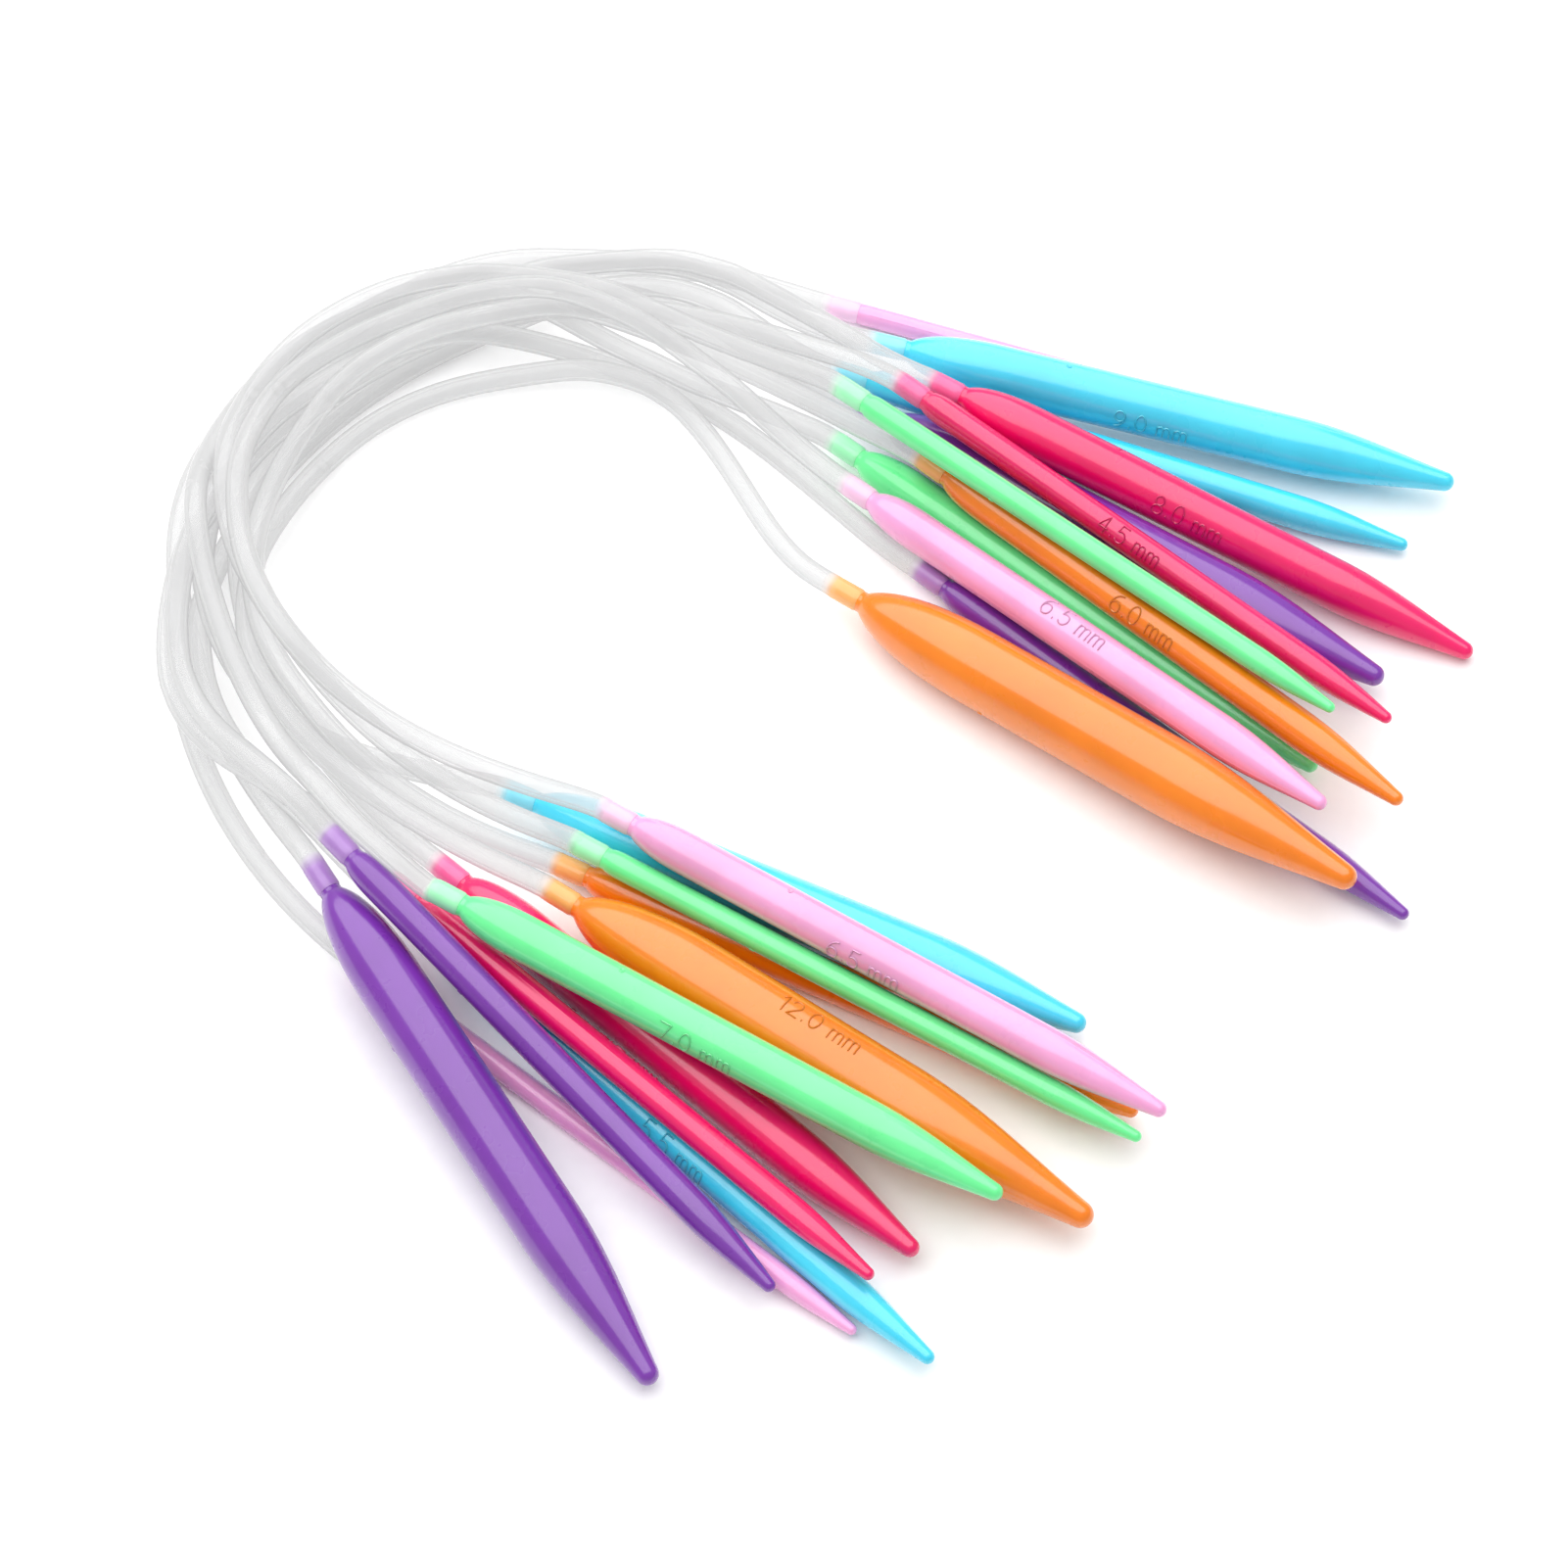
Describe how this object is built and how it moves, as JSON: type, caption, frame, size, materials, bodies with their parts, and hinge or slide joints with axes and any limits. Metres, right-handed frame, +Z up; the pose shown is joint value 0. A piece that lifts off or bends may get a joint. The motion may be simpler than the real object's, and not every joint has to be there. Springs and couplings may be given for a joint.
{
  "type": "circular knitting needle set",
  "caption": "Circular knitting needles in a loose pile: pairs of coloured plastic tips in graded sizes, each pair joined by a clear flexible tube, all gathered in one bend.",
  "frame": {"origin": "on the table under the middle of the whole pile", "axes": "+Z up from the table; +X to the right and +Y away from the viewer, with the bend at the upper left and all tips pointing to the lower right"},
  "size_m": [0.2054, 0.201, 0.0225],
  "materials": {
    "pink": "smooth moulded plastic with a soft gloss",
    "green": "smooth moulded plastic with a soft gloss",
    "magenta": "smooth moulded plastic with a soft gloss",
    "purple": "smooth moulded plastic with a soft gloss",
    "blue": "smooth moulded plastic with a soft gloss",
    "orange": "smooth moulded plastic with a soft gloss",
    "tube": "clear flexible tube, slightly milky"
  },
  "bodies": {
    "bend_3_5": {"tube_bend_3_5": "tube"},
    "right_3_5": {"tube_right_3_5": "tube", "tip_right_3_5": "pink"},
    "left_3_5": {"tube_left_3_5": "tube", "tip_left_3_5": "pink"},
    "bend_10_0": {"tube_bend_10_0": "tube"},
    "right_10_0": {"tube_right_10_0": "tube", "tip_right_10_0": "purple"},
    "left_10_0": {"tube_left_10_0": "tube", "tip_left_10_0": "purple"},
    "bend_5_5": {"tube_bend_5_5": "tube"},
    "right_5_5": {"tube_right_5_5": "tube", "tip_right_5_5": "blue"},
    "left_5_5": {"tube_left_5_5": "tube", "tip_left_5_5": "blue"},
    "bend_9_0": {"tube_bend_9_0": "tube"},
    "right_9_0": {"tube_right_9_0": "tube", "tip_right_9_0": "blue"},
    "left_9_0": {"tube_left_9_0": "tube", "tip_left_9_0": "blue"},
    "bend_8_0": {"tube_bend_8_0": "tube"},
    "right_8_0": {"tube_right_8_0": "tube", "tip_right_8_0": "magenta"},
    "left_8_0": {"tube_left_8_0": "tube", "tip_left_8_0": "magenta"},
    "bend_4_5": {"tube_bend_4_5": "tube"},
    "right_4_5": {"tube_right_4_5": "tube", "tip_right_4_5": "magenta"},
    "left_4_5": {"tube_left_4_5": "tube", "tip_left_4_5": "magenta"},
    "bend_5_0": {"tube_bend_5_0": "tube"},
    "right_5_0": {"tube_right_5_0": "tube", "tip_right_5_0": "purple"},
    "left_5_0": {"tube_left_5_0": "tube", "tip_left_5_0": "purple"},
    "bend_12_0": {"tube_bend_12_0": "tube"},
    "right_12_0": {"tube_right_12_0": "tube", "tip_right_12_0": "orange"},
    "left_12_0": {"tube_left_12_0": "tube", "tip_left_12_0": "orange"},
    "bend_7_0": {"tube_bend_7_0": "tube"},
    "right_7_0": {"tube_right_7_0": "tube", "tip_right_7_0": "green"},
    "left_7_0": {"tube_left_7_0": "tube", "tip_left_7_0": "green"},
    "bend_6_0": {"tube_bend_6_0": "tube"},
    "right_6_0": {"tube_right_6_0": "tube", "tip_right_6_0": "orange"},
    "left_6_0": {"tube_left_6_0": "tube", "tip_left_6_0": "orange"},
    "bend_4_0": {"tube_bend_4_0": "tube"},
    "right_4_0": {"tube_right_4_0": "tube", "tip_right_4_0": "green"},
    "left_4_0": {"tube_left_4_0": "tube", "tip_left_4_0": "green"},
    "bend_6_5": {"tube_bend_6_5": "tube"},
    "right_6_5": {"tube_right_6_5": "tube", "tip_right_6_5": "pink"},
    "left_6_5": {"tube_left_6_5": "tube", "tip_left_6_5": "pink"}
  },
  "joints": [
    {"name": "lift_10_0", "type": "slide", "parent": "bend_3_5", "child": "bend_10_0", "axis": [0, 0, 1], "range_m": [0, 0.02]},
    {"name": "lift_5_5", "type": "slide", "parent": "bend_10_0", "child": "bend_5_5", "axis": [0, 0, 1], "range_m": [0, 0.02]},
    {"name": "lift_9_0", "type": "slide", "parent": "bend_5_5", "child": "bend_9_0", "axis": [0, 0, 1], "range_m": [0, 0.02]},
    {"name": "lift_8_0", "type": "slide", "parent": "bend_9_0", "child": "bend_8_0", "axis": [0, 0, 1], "range_m": [0, 0.02]},
    {"name": "lift_4_5", "type": "slide", "parent": "bend_8_0", "child": "bend_4_5", "axis": [0, 0, 1], "range_m": [0, 0.02]},
    {"name": "lift_5_0", "type": "slide", "parent": "bend_4_5", "child": "bend_5_0", "axis": [0, 0, 1], "range_m": [0, 0.02]},
    {"name": "lift_12_0", "type": "slide", "parent": "bend_5_0", "child": "bend_12_0", "axis": [0, 0, 1], "range_m": [0, 0.02]},
    {"name": "lift_7_0", "type": "slide", "parent": "bend_12_0", "child": "bend_7_0", "axis": [0, 0, 1], "range_m": [0, 0.02]},
    {"name": "lift_6_0", "type": "slide", "parent": "bend_7_0", "child": "bend_6_0", "axis": [0, 0, 1], "range_m": [0, 0.02]},
    {"name": "lift_4_0", "type": "slide", "parent": "bend_6_0", "child": "bend_4_0", "axis": [0, 0, 1], "range_m": [0, 0.02]},
    {"name": "lift_6_5", "type": "slide", "parent": "bend_4_0", "child": "bend_6_5", "axis": [0, 0, 1], "range_m": [0, 0.02]},
    {"name": "swing_right", "type": "hinge", "parent": "bend_3_5", "child": "right_3_5", "pos_m": [-0.01974, 0.08169, 0], "axis": [0, 0, 1], "range_deg": [-8, 20]},
    {"name": "swing_right_10_0", "type": "hinge", "parent": "bend_10_0", "child": "right_10_0", "pos_m": [-0.01974, 0.08169, 0], "axis": [0, 0, 1], "range_deg": [-8, 20]},
    {"name": "swing_right_5_5", "type": "hinge", "parent": "bend_5_5", "child": "right_5_5", "pos_m": [-0.01974, 0.08169, 0], "axis": [0, 0, 1], "range_deg": [-8, 20]},
    {"name": "swing_right_9_0", "type": "hinge", "parent": "bend_9_0", "child": "right_9_0", "pos_m": [-0.01974, 0.08169, 0], "axis": [0, 0, 1], "range_deg": [-8, 20]},
    {"name": "swing_right_8_0", "type": "hinge", "parent": "bend_8_0", "child": "right_8_0", "pos_m": [-0.01974, 0.08169, 0], "axis": [0, 0, 1], "range_deg": [-8, 20]},
    {"name": "swing_right_4_5", "type": "hinge", "parent": "bend_4_5", "child": "right_4_5", "pos_m": [-0.01974, 0.08169, 0], "axis": [0, 0, 1], "range_deg": [-8, 20]},
    {"name": "swing_right_5_0", "type": "hinge", "parent": "bend_5_0", "child": "right_5_0", "pos_m": [-0.01974, 0.08169, 0], "axis": [0, 0, 1], "range_deg": [-8, 20]},
    {"name": "swing_right_12_0", "type": "hinge", "parent": "bend_12_0", "child": "right_12_0", "pos_m": [-0.01974, 0.08169, 0], "axis": [0, 0, 1], "range_deg": [-8, 20]},
    {"name": "swing_right_7_0", "type": "hinge", "parent": "bend_7_0", "child": "right_7_0", "pos_m": [-0.01974, 0.08169, 0], "axis": [0, 0, 1], "range_deg": [-8, 20]},
    {"name": "swing_right_6_0", "type": "hinge", "parent": "bend_6_0", "child": "right_6_0", "pos_m": [-0.01974, 0.08169, 0], "axis": [0, 0, 1], "range_deg": [-8, 20]},
    {"name": "swing_right_4_0", "type": "hinge", "parent": "bend_4_0", "child": "right_4_0", "pos_m": [-0.01974, 0.08169, 0], "axis": [0, 0, 1], "range_deg": [-8, 20]},
    {"name": "swing_right_6_5", "type": "hinge", "parent": "bend_6_5", "child": "right_6_5", "pos_m": [-0.01974, 0.08169, 0], "axis": [0, 0, 1], "range_deg": [-8, 20]},
    {"name": "swing_left", "type": "hinge", "parent": "bend_3_5", "child": "left_3_5", "pos_m": [-0.09015, 0.0137, 0], "axis": [0, 0, -1], "range_deg": [-8, 20]},
    {"name": "swing_left_10_0", "type": "hinge", "parent": "bend_10_0", "child": "left_10_0", "pos_m": [-0.09015, 0.0137, 0], "axis": [0, 0, -1], "range_deg": [-8, 20]},
    {"name": "swing_left_5_5", "type": "hinge", "parent": "bend_5_5", "child": "left_5_5", "pos_m": [-0.09015, 0.0137, 0], "axis": [0, 0, -1], "range_deg": [-8, 20]},
    {"name": "swing_left_9_0", "type": "hinge", "parent": "bend_9_0", "child": "left_9_0", "pos_m": [-0.09015, 0.0137, 0], "axis": [0, 0, -1], "range_deg": [-8, 20]},
    {"name": "swing_left_8_0", "type": "hinge", "parent": "bend_8_0", "child": "left_8_0", "pos_m": [-0.09015, 0.0137, 0], "axis": [0, 0, -1], "range_deg": [-8, 20]},
    {"name": "swing_left_4_5", "type": "hinge", "parent": "bend_4_5", "child": "left_4_5", "pos_m": [-0.09015, 0.0137, 0], "axis": [0, 0, -1], "range_deg": [-8, 20]},
    {"name": "swing_left_5_0", "type": "hinge", "parent": "bend_5_0", "child": "left_5_0", "pos_m": [-0.09015, 0.0137, 0], "axis": [0, 0, -1], "range_deg": [-8, 20]},
    {"name": "swing_left_12_0", "type": "hinge", "parent": "bend_12_0", "child": "left_12_0", "pos_m": [-0.09015, 0.0137, 0], "axis": [0, 0, -1], "range_deg": [-8, 20]},
    {"name": "swing_left_7_0", "type": "hinge", "parent": "bend_7_0", "child": "left_7_0", "pos_m": [-0.09015, 0.0137, 0], "axis": [0, 0, -1], "range_deg": [-8, 20]},
    {"name": "swing_left_6_0", "type": "hinge", "parent": "bend_6_0", "child": "left_6_0", "pos_m": [-0.09015, 0.0137, 0], "axis": [0, 0, -1], "range_deg": [-8, 20]},
    {"name": "swing_left_4_0", "type": "hinge", "parent": "bend_4_0", "child": "left_4_0", "pos_m": [-0.09015, 0.0137, 0], "axis": [0, 0, -1], "range_deg": [-8, 20]},
    {"name": "swing_left_6_5", "type": "hinge", "parent": "bend_6_5", "child": "left_6_5", "pos_m": [-0.09015, 0.0137, 0], "axis": [0, 0, -1], "range_deg": [-8, 20]}
  ],
  "couplings": [
    {"joint": "swing_right_10_0", "follows": "swing_right", "ratio": 1},
    {"joint": "swing_right_5_5", "follows": "swing_right", "ratio": 1},
    {"joint": "swing_right_9_0", "follows": "swing_right", "ratio": 1},
    {"joint": "swing_right_8_0", "follows": "swing_right", "ratio": 1},
    {"joint": "swing_right_4_5", "follows": "swing_right", "ratio": 1},
    {"joint": "swing_right_5_0", "follows": "swing_right", "ratio": 1},
    {"joint": "swing_right_12_0", "follows": "swing_right", "ratio": 1},
    {"joint": "swing_right_7_0", "follows": "swing_right", "ratio": 1},
    {"joint": "swing_right_6_0", "follows": "swing_right", "ratio": 1},
    {"joint": "swing_right_4_0", "follows": "swing_right", "ratio": 1},
    {"joint": "swing_right_6_5", "follows": "swing_right", "ratio": 1},
    {"joint": "swing_left_10_0", "follows": "swing_left", "ratio": 1},
    {"joint": "swing_left_5_5", "follows": "swing_left", "ratio": 1},
    {"joint": "swing_left_9_0", "follows": "swing_left", "ratio": 1},
    {"joint": "swing_left_8_0", "follows": "swing_left", "ratio": 1},
    {"joint": "swing_left_4_5", "follows": "swing_left", "ratio": 1},
    {"joint": "swing_left_5_0", "follows": "swing_left", "ratio": 1},
    {"joint": "swing_left_12_0", "follows": "swing_left", "ratio": 1},
    {"joint": "swing_left_7_0", "follows": "swing_left", "ratio": 1},
    {"joint": "swing_left_6_0", "follows": "swing_left", "ratio": 1},
    {"joint": "swing_left_4_0", "follows": "swing_left", "ratio": 1},
    {"joint": "swing_left_6_5", "follows": "swing_left", "ratio": 1}
  ]
}
